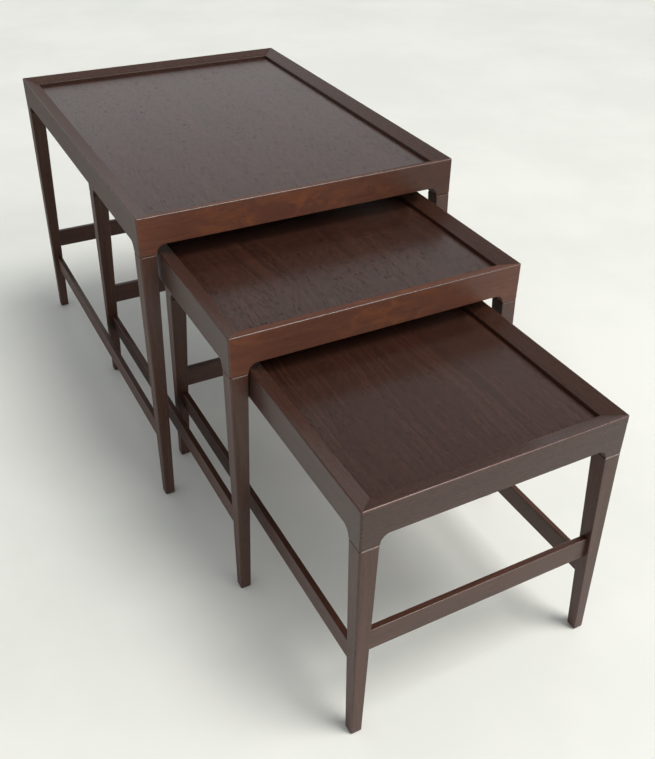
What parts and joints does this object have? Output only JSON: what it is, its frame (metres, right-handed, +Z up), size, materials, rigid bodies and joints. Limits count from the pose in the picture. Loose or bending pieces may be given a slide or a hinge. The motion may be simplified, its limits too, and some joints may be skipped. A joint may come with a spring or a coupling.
{
  "type": "nesting tables",
  "caption": "Nest of rectangular occasional tables with tray tops, curved leg brackets, tapering splayed legs and thin stretchers; the smaller tables slide out from under the larger.",
  "frame": {"origin": "on the floor, at the centre of the ground that the whole nest covers when drawn out", "axes": "+Z up, +Y from the front of the smallest table to the back of the largest, +X to the right seen from the front"},
  "size_m": [0.5464, 1.2746, 0.508],
  "materials": {
    "rail_mahogany": "satin lacquered reddish-brown mahogany, grain along the rail",
    "panel_veneer": "satin lacquered veneer, fine straight grain from front to back",
    "leg_mahogany": "satin lacquered reddish-brown mahogany, grain along the leg",
    "stretcher_mahogany": "satin lacquered reddish-brown mahogany, grain along the stretcher",
    "block_beech": "sawn unfinished beech, hidden under the panel"
  },
  "bodies": {
    "large": {"large_front_rail": "rail_mahogany", "large_right_rail": "rail_mahogany", "large_back_rail": "rail_mahogany", "large_left_rail": "rail_mahogany", "large_top_panel": "panel_veneer", "large_leg_front_left": "leg_mahogany", "large_corner_block_front_left": "block_beech", "large_leg_front_right": "leg_mahogany", "large_corner_block_front_right": "block_beech", "large_leg_back_right": "leg_mahogany", "large_corner_block_back_right": "block_beech", "large_leg_back_left": "leg_mahogany", "large_corner_block_back_left": "block_beech", "large_left_stretcher": "stretcher_mahogany", "large_right_stretcher": "stretcher_mahogany", "large_back_stretcher": "stretcher_mahogany"},
    "medium": {"medium_front_rail": "rail_mahogany", "medium_right_rail": "rail_mahogany", "medium_back_rail": "rail_mahogany", "medium_left_rail": "rail_mahogany", "medium_top_panel": "panel_veneer", "medium_leg_front_left": "leg_mahogany", "medium_corner_block_front_left": "block_beech", "medium_leg_front_right": "leg_mahogany", "medium_corner_block_front_right": "block_beech", "medium_leg_back_right": "leg_mahogany", "medium_corner_block_back_right": "block_beech", "medium_leg_back_left": "leg_mahogany", "medium_corner_block_back_left": "block_beech", "medium_left_stretcher": "stretcher_mahogany", "medium_right_stretcher": "stretcher_mahogany", "medium_back_stretcher": "stretcher_mahogany"},
    "small": {"small_front_rail": "rail_mahogany", "small_right_rail": "rail_mahogany", "small_back_rail": "rail_mahogany", "small_left_rail": "rail_mahogany", "small_top_panel": "panel_veneer", "small_leg_front_left": "leg_mahogany", "small_corner_block_front_left": "block_beech", "small_leg_front_right": "leg_mahogany", "small_corner_block_front_right": "block_beech", "small_leg_back_right": "leg_mahogany", "small_corner_block_back_right": "block_beech", "small_leg_back_left": "leg_mahogany", "small_corner_block_back_left": "block_beech", "small_left_stretcher": "stretcher_mahogany", "small_right_stretcher": "stretcher_mahogany", "small_back_stretcher": "stretcher_mahogany", "small_front_stretcher": "stretcher_mahogany"}
  },
  "joints": [
    {"name": "medium_slide", "type": "slide", "parent": "large", "child": "medium", "axis": [0, -1, 0], "range_m": [-0.289, 0.45]},
    {"name": "small_slide", "type": "slide", "parent": "medium", "child": "small", "axis": [0, -1, 0], "range_m": [-0.299, 0.39]}
  ]
}
